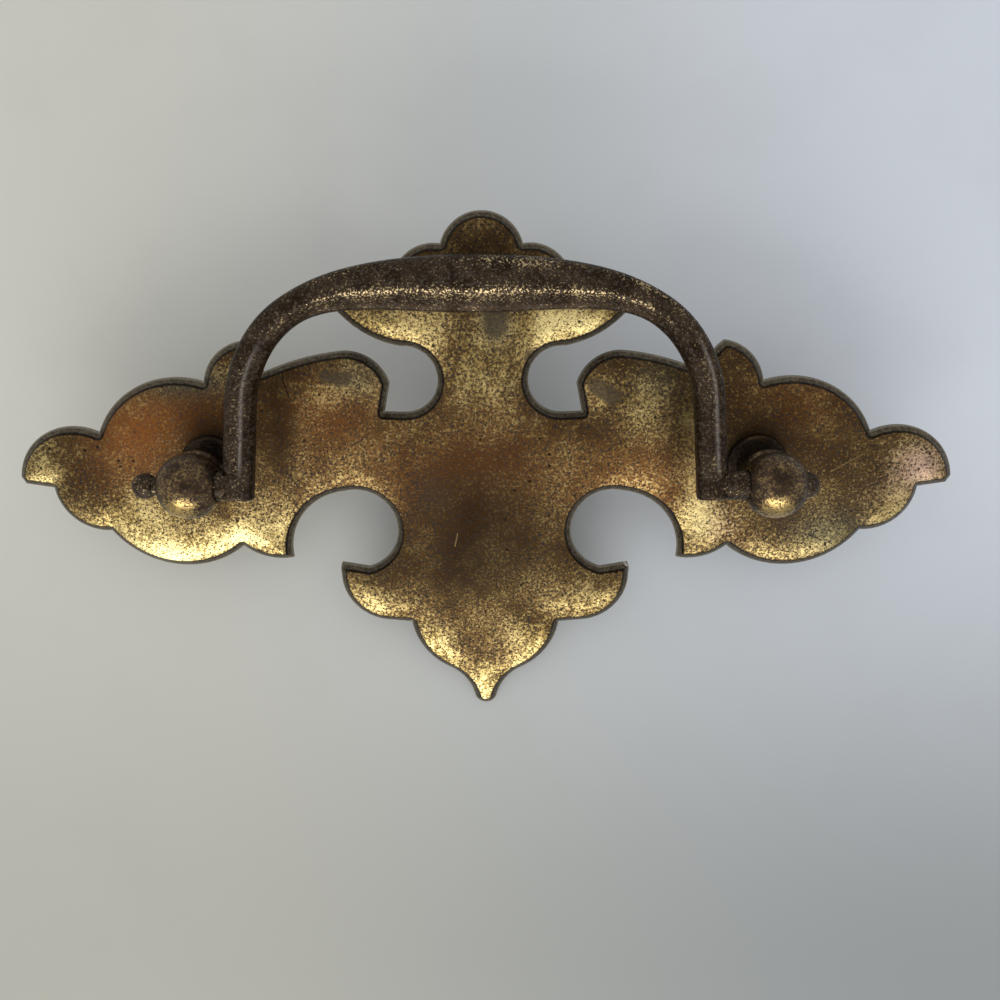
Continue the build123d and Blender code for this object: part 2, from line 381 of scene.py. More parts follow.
plate_faces = triangles.tolist() + (triangles[:, ::-1] + size).tolist()
for loop in (edge_loop, *hole_loops):
    plate_faces += wall(loop).tolist()
plate = make_piece("backplate_face", plate_points, plate_faces, PLATE_SHARP)
print("plate mesh", len(plate.data.vertices), "points", len(plate.data.polygons), "faces")

# %% [markdown]
# ## Where the plate is worn, and where light and shade are painted
# Hands and polish reach the outer slopes and the lower tips first, so brass shows there,
# while the middle between the posts keeps its brown. The same maps paint light and shade
# as well: slopes and tips that face the lamp are made paler, a painted highlight, and the
# middle is made darker, painted shade. Five soft maps are stored on the points of the mesh,
# each a sum of oval spots given in millimetres: how worn and highlit the brass is, how red
# its film, how pink the metal, how green the bloom, and how thick the grime and painted
# shade. What leans to the lower side, towards the lamp, is painted paler. The distance from
# the edge is stored with them, and the back, which nobody polished, gets plain values of
# its own.

# %% Spots of wear and painted highlight
# Spots of wear and painted highlight: the positive ones sit on the lower slopes and tips that
# catch the lamp, and the negative ones in the middle are painted shade.
BRIGHT = [
    (-44, -13, 8.5, 2.9, 0.72), (-51, -8, 6, 4, 0.6), (-36, -11, 5, 2.5, 0.6),
    (-30, -11, 3, 4, 0.45), (-61, 0, 4, 5, 0.45), (-13, 19.5, 6, 2.5, 0.42),
    (11, 19.5, 7, 2.5, 0.72), (-22, 11, 6, 4, 0.3), (21, 10, 7, 5, 0.4),
    (29, 4, 2.5, 7, 0.5), (31, -8, 3, 5, 0.8), (-15, -21, 5, 3, 0.36),
    (15, -20.5, 6, 3, 0.5), (-7, -28, 4, 4, 0.5), (6, -27, 4, 4, 0.45), (0, -33, 3, 4, 0.7),
    (0, -26, 9, 4, 0.2), (50, -11, 6, 2.5, 0.3), (57, -6, 4, 4, 0.5), (44, -13, 5, 2, 0.25),
    (0, 13, 7, 7, 0.35), (62, -1, 3, 3, 0.4), (60, 1, 5, 4, 0.4), (-35, 14, 3, 3, 0.3),
    (0, -8, 13, 11, -0.5), (0, -27, 9, 6, -0.25), (46, 4, 8, 6, -0.1),
    (-46, -15, 5, 1.8, 0.3), (-8.5, -29, 2.2, 3, 0.35), (8.5, -28, 2, 3, 0.35),
    (-5, -32, 2, 2.5, 0.3), (5, -32, 2, 2.5, 0.3), (0, -36, 1.5, 2, 0.4),
    (0, -29, 3.5, 4, -0.3), (0, 15, 5, 5, 0.12), (60, -1, 4, 3, -0.15),
]
REDDISH = [
    (-50, 3, 6.5, 6, 0.8), (-42, 7, 8, 5, 0.7), (-22, 7, 9, 6, 0.4), (0, -2, 15, 8, 0.55),
    (43, 8, 8, 5, 0.4), (24, -2, 7, 5, 0.4),
]
PINK = [(61, -0.5, 5, 4, 1.0), (52, -3, 5, 4, 0.4), (35, -9, 4, 5, 0.35)]
DULL_GREEN = [
    (-41, 11.5, 6, 2.2, 1.0), (49, -10, 6, 3.5, 0.8), (-7, -5, 3, 3, 0.4),
    (1.8, 19.6, 1.9, 2.4, 1.0), (-17, 12, 2.5, 3, 0.6), (24, 12, 3, 3, 0.5),
]
# Grime and painted shade: dirt round the posts together with the shade under their balls, painted
# shadows beside the legs and of the grip on the top lobe, and painted shade over the middle.
GRIME_AND_SHADE = [
    (-38.1, 3.2, 5.6, 5.0, 0.9), (38.1, 3.2, 5.6, 5.0, 0.9), (-27.9, 4, 2.0, 7, 0.65),
    (27.0, 4, 2.0, 7, 0.5), (0, -7, 13.5, 11, 0.95), (0, -17, 9, 5, 0.3),
    (-57, 1, 5, 5, 0.3), (0, 30, 7, 3, 0.35), (49, 6, 7, 5, 0.25),
]


def patches(xy, spots):
    """Sum of soft spots. Each spot (x, y, reach in x, reach in y, strength) adds its
    strength times exp(-squared distance), the distance measured in its own reaches."""
    total = np.zeros(len(xy))
    for x, y, wide, tall, strength in spots:
        total += strength * np.exp(-((xy[:, 0] - x) / wide) ** 2 - ((xy[:, 1] - y) / tall) ** 2)
    return total


print("spots", [len(spots) for spots in (BRIGHT, REDDISH, PINK, DULL_GREEN, GRIME_AND_SHADE)])

# %% Store the wear, painted highlight and painted shade on the mesh
LEAN_SHARE, MOST_LEAN = 0.9, 0.4
BACK_LIP, BACK_INSIDE = 0.1, 3.0
first, second, third = (plate_points[triangles[:, k]] for k in range(3))
normal = np.cross(second - first, third - first)
rise_sum = np.bincount(triangles.ravel(), np.repeat(normal[:, 2], 3), size)
south_sum = np.bincount(triangles.ravel(), np.repeat(-normal[:, 1], 3), size)
tilt_south = np.clip(south_sum / np.maximum(rise_sum, 1e-9), -MOST_LEAN, MOST_LEAN)
on_face = edge_mm > BEVEL_WIDE + QUIRK_WIDE
# Slopes that lean to the lower side face the lamp and are painted paler: a painted highlight.
bright = np.clip(patches(flat, BRIGHT) + LEAN_SHARE * tilt_south * on_face, 0, 1)


def store(piece, name, values):
    """One number for each point of the mesh, kept under that name."""
    layer = piece.data.attributes.new(name, "FLOAT", "POINT")
    layer.data.foreach_set("value", np.asarray(values, np.float32))


def store_both_sides(name, face, back):
    """The face has its own value at each point, and the unpolished back one value all over."""
    store(plate, name, np.concatenate([face, np.broadcast_to(back, face.shape)]))


store_both_sides("edge_mm", edge_mm, np.where(edge_mm < BACK_LIP, 0.0, BACK_INSIDE))
store_both_sides("wear_and_highlight", bright, 0.06)
for name, spots, on_back in (
    ("reddish", REDDISH, 0.25), ("pink", PINK, 0.0), ("dull_green", DULL_GREEN, 0.3),
    ("grime_and_shade", GRIME_AND_SHADE, 0.2),
):
    store_both_sides(name, np.clip(patches(flat, spots), 0, 1), on_back)
print("worn share of the face", round(float((bright > 0.5).mean()), 2))
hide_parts("backplate")
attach(plate, "plate")

# %% [markdown]
# ## The bail
# The bail was cast in one piece: a bar of soft-cornered square section that swells in
# the middle of the grip, with a foot at each end. Its centre line is one smooth Bezier
# curve between two straight legs, and the section is carried along it. On the grip the
# edge towards the pin axis is filed to a long soft slope, so a ridge runs along it.

# %% Centre line of the bail
LEG_X, LEG_LEAN, KNEE, FOOT = 30.85, 0.5, 11.0, -1.9
KNEE_X = LEG_X - LEG_LEAN
CONTROL = np.array([
    (-KNEE_X, KNEE), (-KNEE_X + 0.399, KNEE + 10.3), (-17.9, 41.45), (0.0, 7.15),
    (17.9, 41.45), (KNEE_X - 0.399, KNEE + 10.3), (KNEE_X, KNEE),
])


def bezier(t):
    """Point on the Bezier curve: the sum of the control points, each times its binomial
    number, t to its index and (1 - t) to the rest."""
    weights = [math.comb(6, k) * t ** k * (1 - t) ** (6 - k) for k in range(7)]
    return np.stack(weights, -1) @ CONTROL


print("middle of the grip at", bezier(np.array([0.5]))[0].round(2), "mm")

# %% How the bail lies
GRIP_THICK, GRIP_WIDE, LEG_THICK, CORNER = 6.0, 7.3, 4.0, 0.34
PIN_UP, REST_GAP, END_PLAY = 10.4, 0.3, -0.85
HINGE_Z = PLATE_TOP + PIN_UP
corner_round = CORNER * GRIP_THICK
reach = bezier(np.array([0.5]))[0, 1] + GRIP_WIDE / 2 - corner_round
below = GRIP_THICK / 2 - corner_round
rest_tilt = math.asin((PIN_UP - REST_GAP - corner_round) / math.hypot(reach, below))
rest_tilt -= math.atan2(below, reach)
print("bail dips", round(math.degrees(rest_tilt), 2), "degrees onto the plate")


def lay_bail(points):
    """From the bail's own plane to its rest: turned down about the pin axis, then raised."""
    x, y, z = np.asarray(points).T
    c, s = math.cos(rest_tilt), math.sin(rest_tilt)
    return np.stack([x + END_PLAY, y * c + z * s, -y * s + z * c + HINGE_Z], -1)


# %% Stations along the bail
FOOT_STATIONS, LEG_STATIONS, GRIP_STATIONS, FOOT_ROUND = 6, 25, 170, 0.5
SWELL_STARTS, SWELL_LONG, SWELL_POWER = 0.2, 0.3, 0.85
straight = FOOT_STATIONS + LEG_STATIONS
foot_steps = np.radians(np.linspace(0, 90, FOOT_STATIONS))
leg_run = np.linspace(0, 1, LEG_STATIONS + 1)[1:]
t_grip = np.linspace(0, 1, GRIP_STATIONS)
from_end = np.clip((np.minimum(t_grip, 1 - t_grip) - SWELL_STARTS) / SWELL_LONG, 0, 1)
swell = soft_step(0, 1, from_end ** SWELL_POWER)[1:-1]
leg_y = FOOT + FOOT_ROUND + (KNEE - FOOT - FOOT_ROUND) * leg_run
foot_y = FOOT + FOOT_ROUND - FOOT_ROUND * np.cos(foot_steps)
leg_line = np.stack([-LEG_X + LEG_LEAN * leg_run, leg_y], -1)
foot_line = np.stack([np.full(FOOT_STATIONS, -LEG_X), foot_y], -1)
line = np.vstack([foot_line, leg_line, bezier(t_grip[1:-1])])
even = np.full(straight, LEG_THICK)
wide = np.concatenate([even, LEG_THICK + (GRIP_WIDE - LEG_THICK) * swell])
thick = np.concatenate([even, LEG_THICK + (GRIP_THICK - LEG_THICK) * swell])
level = np.zeros(LEG_STATIONS + GRIP_STATIONS - 2)
inset = np.concatenate([FOOT_ROUND * (1 - np.sin(foot_steps)), level])
mirror_part = slice(straight - 1, None, -1)
line = np.vstack([line, line[mirror_part] * (-1, 1)])
wide, thick, inset = (np.concatenate([v, v[mirror_part]]) for v in (wide, thick, inset))
tangent = np.gradient(line, axis=0)
tangent[:FOOT_STATIONS] = tangent[FOOT_STATIONS]
tangent[-FOOT_STATIONS:] = tangent[-FOOT_STATIONS - 1]
tangent /= np.linalg.norm(tangent, axis=1, keepdims=True)
across = np.stack([tangent[:, 1], -tangent[:, 0]], -1)
print("bail", len(line), "stations, widest", round(float(wide.max()), 2), "mm")

# %% Carry the section along it
SECTION_POINTS, SECTION_POWER = 88, 2.7
GRIP_FROM, GRIP_FULL = 16.0, 27.0
SLOPE_FROM, SLOPE_DROP = 0.25, 0.74


def soft_square():
    """A unit section between a circle and a square. The point at angle a has the cosine
    and the sine of a, each to the power 2 / power with its sign kept."""
    a = np.linspace(0, 2 * np.pi, SECTION_POINTS, endpoint=False)
    c, s, power = np.cos(a), np.sin(a), 2 / SECTION_POWER
    return np.sign(c) * np.abs(c) ** power, np.sign(s) * np.abs(s) ** power


section_u, section_v = soft_square()
on_grip = soft_step(GRIP_FROM, GRIP_FULL, line[:, 1])[:, None]
shoulder = SLOPE_DROP * soft_step(SLOPE_FROM, 1.0, section_u) * (section_v > 0)
half_wide = (wide / 2 - inset)[:, None]
half_thick = (thick / 2 - inset)[:, None]
out = section_u * half_wide
up = section_v * (1 - on_grip * shoulder) * half_thick
body = [line[:, None, :] + out[..., None] * across[:, None, :], up[..., None]]
body = np.concatenate(body, -1)
sections, around = body.shape[:2]
end_middles = [(*line[0], 0), (*line[-1], 0)]
bail_points = np.vstack([body.reshape(-1, 3), end_middles])
bail_faces = quads_between_rings(sections, around).tolist()
j = np.arange(around)
last = (sections - 1) * around
start_middle, end_middle = (np.full(around, sections * around + k) for k in (0, 1))
bail_faces += np.stack([np.roll(j, -1), j, start_middle], -1).tolist()
bail_faces += np.stack([last + j, last + np.roll(j, -1), end_middle], -1).tolist()
print("bail", sections, "sections of", around, "points")

# %% Pins and ball tips
PIN_END, PIN_R, NECK_R, TIP_R, TIP_X = POST_X + 2.6, 1.9, 1.2, 1.7, POST_X + 4.92
PIN_ROUND, PIN_AROUND, BAIL_SHARP = 0.2, 40, 40.0
neck_angle = math.degrees(math.asin(NECK_R / TIP_R))
round_centre = (PIN_R - PIN_ROUND, PIN_END - PIN_ROUND)
neck_x = TIP_X - TIP_R * math.cos(math.radians(neck_angle))
tip_angle = np.radians(np.linspace(180 - neck_angle, 0, 22))[1:]
tip_profile = np.stack([TIP_R * np.sin(tip_angle), TIP_X + TIP_R * np.cos(tip_angle)], -1)
tip_profile[-1, 0] = 0.0
pin_profile = np.vstack([
    [(0, LEG_X), (PIN_R, LEG_X), (PIN_R, PIN_END - PIN_ROUND)],
    arc(round_centre, PIN_ROUND, 0, 90, 5), [(NECK_R, PIN_END), (NECK_R, neck_x)], tip_profile,
])
pin_points, pin_faces = lathe(pin_profile, PIN_AROUND)
right_pin = pin_points[:, [2, 1, 0]]
left_pin = right_pin * (-1, 1, 1)
base = len(bail_points)
bail_points = np.vstack([bail_points, right_pin, left_pin])
bail_faces += (pin_faces[:, ::-1] + base).tolist() + (pin_faces + base + len(right_pin)).tolist()
bail = make_piece("bail_grip", lay_bail(bail_points), bail_faces, BAIL_SHARP)
print("bail mesh", len(bail.data.vertices), "points")

# %% Where the bail is rubbed, and where its highlights are painted
along_x = line[:, 0][:, None]
PIN_RUB, LEAST_RUB = 0.2, 0.02


def hump(value, middle, reach):
    """1 at the middle, falling off as exp(-squared distance over squared reach)."""
    return np.exp(-((value - middle) / reach) ** 2)


facing = soft_step(0.1, 0.5, section_v)
# Flecks along the ridge are wear and also a painted highlight where the ridge catches the lamp.
ridge_wear_and_sheen = 0.62 * on_grip * hump(section_u, 0.4, 0.28) * (0.75 + 0.25 * hump(along_x, 0, 26))
edge_runs = 0.75 * hump(along_x, 5, 6) + 0.75 * hump(along_x, 21, 5) + 0.35 * hump(along_x, -17, 6)
upper_edge = hump(section_u, -0.7, 0.25) * edge_runs
leg_face = (1 - on_grip) * 0.2 * hump(section_u, 0.0, 0.35)
rub_and_sheen = ((ridge_wear_and_sheen + upper_edge + leg_face) * facing + LEAST_RUB).ravel()
rest = len(bail_points) - len(rub_and_sheen)
store(bail, "rubbed_and_sheen", np.clip(np.concatenate([rub_and_sheen, np.full(rest, PIN_RUB)]), 0, 1))
# A painted highlight: a pale line down the top of each leg, where the lamp is reflected.
aside = section_u * across[:, :1]
leg_length = soft_step(0.5, 3.0, line[:, 1]) * (1 - soft_step(15.0, 20.0, line[:, 1]))
leg_highlight_line = (hump(aside, 0.27, 0.1) * facing * leg_length[:, None]).ravel()
store(bail, "leg_highlight_line", np.concatenate([leg_highlight_line, np.zeros(rest)]))
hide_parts("bail")
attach(bail, "bail")
print("rubbed up to", round(float(rub_and_sheen.max()), 2))

# %% [markdown]
# ## Posts
# A post is turned: a threaded stud, a seat flange, a hollow waist, a half-round collar
# and a ball. The ball is cut flat on its inner side and bored across for the pin, so it
# is its own turned form about the pin's axis.

# %% Turn the stud
STUD_R, STUD_END, SHOULDER_R, SHOULDER_UP = 2.08, -12.7, 2.3, PLATE_TOP + 0.3
THREAD_PITCH, THREAD_DEEP, STUD_CHAMFER = 0.7, 0.28, 0.4
STUD_AROUND, STUD_STEP = 48, 0.07


def threaded_stud():
    """A rod whose radius dips by the thread depth as a saw of (height / pitch - turn), so
    that the groove climbs one pitch a turn. It fades out at the tip and at the plate."""
    z = np.arange(STUD_END + STUD_CHAMFER, -0.02, STUD_STEP)
    a = np.linspace(0, 2 * np.pi, STUD_AROUND, endpoint=False)
    phase = (z[:, None] / THREAD_PITCH - a / (2 * np.pi)) % 1.0
    saw = np.abs(2 * phase - 1)
    starts = soft_step(STUD_END + STUD_CHAMFER, STUD_END + 1.0, z)
    fade = (starts * (1 - soft_step(-0.9, -0.2, z)))[:, None]
    r = STUD_R - THREAD_DEEP * saw * fade
    rod = [r * np.cos(a), r * np.sin(a), np.repeat(z[:, None], STUD_AROUND, 1)]

    def ring(radius, height):
        """Points of one plain ring at that radius and height."""
        return np.stack([radius * np.cos(a), radius * np.sin(a), np.full(STUD_AROUND, height)], -1)

    end = [ring(0, STUD_END), ring(STUD_R - STUD_CHAMFER, STUD_END)]
    cap = [ring(STUD_R, 0.0), ring(SHOULDER_R, 0.0), ring(SHOULDER_R, SHOULDER_UP)]
    rows = np.concatenate([end, np.stack(rod, -1), cap, [ring(0, SHOULDER_UP)]])
    return rows.reshape(-1, 3), quads_between_rings(len(rows), STUD_AROUND)


print("stud of", len(threaded_stud()[0]), "points")

# %% Turn the stem
FLANGE_R, FLANGE_T, FLANGE_ROUND, FLANGE_SIDE = 4.2, 1.1, 0.5, 0.6
WAIST_R, COLLAR_ROOT, COLLAR_OUT, COLLAR_ROUND = 2.5, 3.0, 0.25, 0.55
collar_low, collar_high = PLATE_TOP + 6.1, PLATE_TOP + 7.2
neck_z = (PLATE_TOP + FLANGE_T + collar_low) / 2
neck_half = (collar_low - PLATE_TOP - FLANGE_T) / 2
neck_dip = COLLAR_ROOT - WAIST_R
neck_radius = (neck_half ** 2 + neck_dip ** 2) / (2 * neck_dip)
neck_swing = math.degrees(math.asin(neck_half / neck_radius))
collar_centre = (COLLAR_ROOT + COLLAR_OUT, (collar_low + collar_high) / 2)
stem_profile = np.vstack([
    [(0, PLATE_TOP), (FLANGE_R, PLATE_TOP), (FLANGE_R, PLATE_TOP + FLANGE_SIDE)],
    arc((FLANGE_R - FLANGE_ROUND, PLATE_TOP + FLANGE_SIDE), FLANGE_ROUND, 0, 90, 9),
    [(COLLAR_ROOT + 0.05, PLATE_TOP + FLANGE_T)],
    arc((WAIST_R + neck_radius, neck_z), neck_radius, 180 + neck_swing, 180 - neck_swing, 17),
    arc(collar_centre, COLLAR_ROUND, -90, 90, 13),
    [(COLLAR_ROOT - 0.15, collar_high), (0, collar_high)],
])
print("stem profile", len(stem_profile), "points")

# %% Turn the ball head
BALL_R, BALL_Z, FACE_X, BORE_R = 4.3, HINGE_Z, 3.6, 2.05
face_angle = math.degrees(math.acos(FACE_X / BALL_R))
back_angle = 180 - math.degrees(math.asin(BORE_R / BALL_R))
ball_arc = arc((0, 0), BALL_R, face_angle, back_angle, 40)[:, ::-1]
bore_back = -math.sqrt(BALL_R ** 2 - BORE_R ** 2)
ball_profile = np.vstack([[(BORE_R, FACE_X)], ball_arc, [(BORE_R, bore_back)], [(BORE_R, FACE_X)]])
print("ball profile", len(ball_profile), "points")

# %% Put the posts together
POST_AROUND, POST_SHARP = 72, 30.0
# The way to the lamp: brass on this side of each ball is wear and also a painted highlight.
LIT_AND_POLISHED_WAY = np.array([-0.1, -0.62, 0.78])  # from a ball's centre to its rubbed side


def make_post(name, side):
    """Stud, stem and ball as one piece. The ball's profile is (radius, x), turned about X."""
    stud_points, stud_faces = threaded_stud()
    stem_points, stem_faces = lathe(stem_profile, POST_AROUND)
    ball_points, ball_faces = lathe(ball_profile, POST_AROUND)
    ball_points = ball_points[:, [2, 1, 0]] + (0, 0, BALL_Z)
    points = np.vstack([stud_points, stem_points, ball_points])
    one, two = len(stud_points), len(stud_points) + len(stem_points)
    faces = stud_faces.tolist() + (stem_faces + one).tolist() + (ball_faces + two).tolist()
    if side > 0:
        points = points * (-1, 1, 1)
        faces = [face[::-1] for face in faces]
    post = make_piece(name, points + (side * POST_X, 0, 0), faces, POST_SHARP)
    toward = (points - (0, 0, BALL_Z)) / BALL_R @ LIT_AND_POLISHED_WAY
    on_ball = points[:, 2] > BALL_Z - BALL_R
    store(post, "rubbed_and_sheen", np.where(on_ball, 0.05 + 0.75 * soft_step(0.72, 1.0, toward), 0.0))
    return post


posts = {
    "left_post": make_post("left_post_turned", -1),
    "right_post": make_post("right_post_turned", 1),
}
for node, post in posts.items():
    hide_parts(node)
    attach(post, "plate")
print("posts", [len(post.data.vertices) for post in posts.values()], "points each")

# %% [markdown]
# ## Colours and nodes
# Hex colours are what the eye reads off a swatch, but Blender mixes light, so one
# function turns each into linear values. Another adds a node of any kind with its settings
# and its links. The settings that come back all the time are named once: SMOOTH eases a
# range, TIMES, PLUS and MOST put two numbers together, and COLOURS mixes two colours.

# %% Colour and node helpers
METRE = 1000.0  # in millimetres: METRE / size is the scale of a pattern of that size
SMOOTH = {"interpolation_type": "SMOOTHSTEP"}
TIMES = {"operation": "MULTIPLY", "use_clamp": True}
PLUS = {"operation": "ADD"}
MOST = {"operation": "MAXIMUM", "use_clamp": True}
COLOURS = {"data_type": "RGBA"}


def linear(hex_text):
    """An sRGB hex colour as linear values: divide by 12.92 in the dark toe, and elsewhere
    take ((value + 0.055) / 1.055) to the power 2.4."""
    value = np.array([int(hex_text[i:i + 2], 16) for i in (1, 3, 5)]) / 255
    light = np.where(value <= 0.04045, value / 12.92, ((value + 0.055) / 1.055) ** 2.4)
    return (*light.tolist(), 1.0)


def add(tree, kind, *inputs, **settings):
    """A new node of that kind with those settings. The inputs go to the sockets that it
    then shows, in their order: a value is set, an output is linked, a node stands for the
    first output that it shows, and None leaves the socket as it is."""
    node = tree.nodes.new("ShaderNode" + kind)
    for key, value in settings.items():
        setattr(node, key, value)
    for socket, value in zip([socket for socket in node.inputs if socket.enabled], inputs):
        if isinstance(value, bpy.types.Node):
            value = next(output for output in value.outputs if output.enabled)
        if isinstance(value, bpy.types.NodeSocket):
            tree.links.new(value, socket)
        elif value is not None:
            socket.default_value = value
    return node


def new_material(name):
    """An empty node material, and the object coordinates to draw its patterns on."""
    material = bpy.data.materials.new(name)
    material.use_nodes = True
    material.node_tree.nodes.clear()
    return material, material.node_tree, add(material.node_tree, "TexCoord").outputs["Object"]


print("bright brass", [round(c, 3) for c in linear("#E6C878")])

# %% [markdown]
# ## Brass with a century of patina
# Brass is copper and zinc. Pressed and polished it is yellow, and air turns it brown,
# deepest where nobody rubs. The film wears off grain by grain, so a half worn place is a
# fine mix of yellow and brown grains about half a millimetre across, not a clean border.
# Dirt and old lacquer leave black specks that are finer still. Both are noise cut at a
# level, and the wear and painted highlight stored on the mesh move the level.

# %% Grains and specks
GRAIN_MM, FINE_MM = 0.45, 0.27


def grains(tree, place):
    """Two noises, one for the worn grains and a finer one for the specks."""
    grain = add(tree, "TexNoise", place, METRE / GRAIN_MM, 2.0, 0.7)
    return grain, add(tree, "TexNoise", place, METRE / FINE_MM, 1.0, 0.55)


def bare_and_highlight_share(tree, wear_and_highlight, grain, wide, spread=0.24):
    """How bare the metal is: the stored wear and painted highlight, moved by the wide clouds and
    by each grain.
    """
    drift = add(tree, "MapRange", wide, 0.3, 0.7, -0.16, 0.16, **SMOOTH)
    moved = add(tree, "Math", wear_and_highlight, drift, **PLUS)
    jump = add(tree, "MapRange", grain, 0.34, 0.66, -spread, spread, **SMOOTH)
    moved = add(tree, "Math", moved, jump, **PLUS)
    return add(tree, "MapRange", moved, -0.02, 1.0, **SMOOTH)


def speck_share(tree, fine, bare_and_highlight, few, many):
    """Fine dark specks: the finer noise, cut higher where metal is bare."""
    shift = add(tree, "MapRange", bare_and_highlight, 0.0, 1.0, many, few, **SMOOTH)
    return add(tree, "MapRange", add(tree, "Math", fine, shift, **PLUS), 0.53, 0.63, **SMOOTH)


print("grains", GRAIN_MM, "mm, specks", FINE_MM, "mm")

# %% Coats, marks and the metal itself
def coat(tree, under, share, strength, over):
    """The colour under, covered by the colour over as far as share times strength says."""
    return add(tree, "Mix", add(tree, "Math", share, strength, **TIMES), under, over, **COLOURS)


def mottled(tree, noise, low, high, one, other):
    """Two colours in soft patches: one below the low level of the noise, the other above."""
    share = add(tree, "MapRange", noise, low, high, **SMOOTH)
    return add(tree, "Mix", share, linear(one), linear(other), **COLOURS)


def scratch(tree, flat_place, start, end, wide):
    """1 along a straight scratch between two points in millimetres, 0 that far from it.
    The place is dropped onto the line, clamped to its ends, and the distance is taken."""
    run = Vector(end) - Vector(start)
    way = (*run.normalized(), 0)
    root = (start[0] * MM, start[1] * MM, 0)
    offset = add(tree, "VectorMath", flat_place, root, operation="SUBTRACT")
    along = add(tree, "VectorMath", offset, way, operation="DOT_PRODUCT")
    along = add(tree, "Math", along, 0.0, operation="MAXIMUM")
    along = add(tree, "Math", along, run.length * MM, operation="MINIMUM")
    foot_point = add(tree, "VectorMath", way, along, operation="SCALE")
    apart = add(tree, "VectorMath", offset, foot_point, operation="DISTANCE")
    return add(tree, "MapRange", apart, 0.0, wide * MM, 1.0, 0.0, **SMOOTH)


def marks(tree, flat_place, scratches):
    """The strongest of several scratches at each place."""
    share = scratch(tree, flat_place, *scratches[0])
    for one in scratches[1:]:
        share = add(tree, "Math", share, scratch(tree, flat_place, *one), **MOST)
    return share


def finish_metal(tree, colour, bare_and_highlight, specks, grain, gloss):
    """Joins colour, gloss and relief. Bare metal is the smoothest, the film is duller, a
    speck is rough and hardly metal any more, and the grains stand a little proud."""
    rough = add(tree, "MapRange", bare_and_highlight, 0.0, 1.0, gloss[1], gloss[0], **SMOOTH)
    grit = add(tree, "Math", specks, 0.2, **TIMES)
    rough = add(tree, "Math", rough, grit, operation="ADD", use_clamp=True)
    metal = add(tree, "MapRange", specks, 0.0, 1.0, 1.0, 0.5, **SMOOTH)
    bump = add(tree, "Bump", 0.5, 0.06 * MM, None, grain)
    shader = add(tree, "BsdfPrincipled", colour, metal, rough, None, None, bump)
    add(tree, "OutputMaterial", shader)


print("finish ready")

# %% [markdown]
# ## Brass of the backplate
# The plate shows it best: yellow where it slopes away to its lower edges, partly a painted
# highlight, orange brown on the left arm, a dull green bloom above it, a pink tip on the
# right where the zinc has gone, and near black round the posts and in the middle, dirt with
# painted shade. Its bevel is grey brown with a dark line along its inner edge and a painted
# highlight along its outer lip. Four grey stains, a crack, two scratches and a nick are
# drawn where the real plate has them, from lists of their ends and widths.

# %% Film and metal of the plate
plate_metal, tree, place = new_material("pressed_brass_worn_patina")
grain, fine = grains(tree, place)
wide = add(tree, "TexNoise", place, METRE / 7.0, 4.0, 0.6)
wear_and_highlight, reddish, pink, dull, grime_and_shade, edge = (
    add(tree, "Attribute", attribute_name=name).outputs["Fac"]
    for name in ("wear_and_highlight", "reddish", "pink", "dull_green", "grime_and_shade", "edge_mm")
)
bare_and_highlight = bare_and_highlight_share(tree, wear_and_highlight, grain, wide)
brown = mottled(tree, wide, 0.32, 0.68, "#4A3620", "#735A36")
brown = coat(tree, brown, reddish, 0.85, linear("#8A5428"))
brown = coat(tree, brown, dull, 0.85, linear("#5F5B48"))
brass = mottled(tree, wide, 0.35, 0.65, "#B0975A", "#E9D08C")
brass = coat(tree, brass, reddish, 0.6, linear("#BE8A50"))
brass = add(tree, "Mix", pink, brass, linear("#DDB8A2"), **COLOURS)
brass = coat(tree, brass, dull, 0.7, linear("#8F8A70"))
# The palest brass is polished wear and also a painted highlight where the slopes face the lamp.
shine = add(tree, "MapRange", bare_and_highlight, 0.7, 1.0, 0.0, 0.75, **SMOOTH)
polished_and_highlit = add(tree, "Mix", shine, brass, linear("#F4DF9C"), **COLOURS)
unpolished = add(tree, "Math", pink, dull, **MOST)
brass = add(tree, "Mix", unpolished, polished_and_highlit, brass, **COLOURS)
specks = speck_share(tree, fine, bare_and_highlight, -0.02, 0.025)
colour = add(tree, "Mix", bare_and_highlight, brown, brass, **COLOURS)
print("film and metal", len(tree.nodes), "nodes")

# %% Glints, specks, grime with painted shade, and pinholes
glints = add(tree, "MapRange", grain, 0.56, 0.68, **SMOOTH)
covered = add(tree, "Math", grime_and_shade, reddish, **MOST)
glint_share = add(tree, "MapRange", covered, 0.0, 0.8, 0.45, 0.14, **SMOOTH)
colour = coat(tree, colour, glints, glint_share, linear("#B79A5C"))
speck_strength = add(tree, "MapRange", reddish, 0.0, 1.0, 0.85, 0.45, **SMOOTH)
colour = coat(tree, colour, specks, speck_strength, linear("#20170D"))
# Near black over the grime map: dirt, and painted shade round the posts, beside the legs, on the
# top lobe and over the middle.
colour = coat(tree, colour, grime_and_shade, 0.86, linear("#190F07"))
cells = add(tree, "TexVoronoi", place, METRE / 2.3)
holes = add(tree, "MapRange", cells, 0.07, 0.12, 1.0, 0.0, **SMOOTH)
pitted = add(tree, "MapRange", wide, 0.42, 0.55, **SMOOTH)
holes = add(tree, "Math", holes, pitted, **TIMES)
colour = coat(tree, colour, holes, 0.9, linear("#120C07"))
print("with dirt", len(tree.nodes), "nodes")

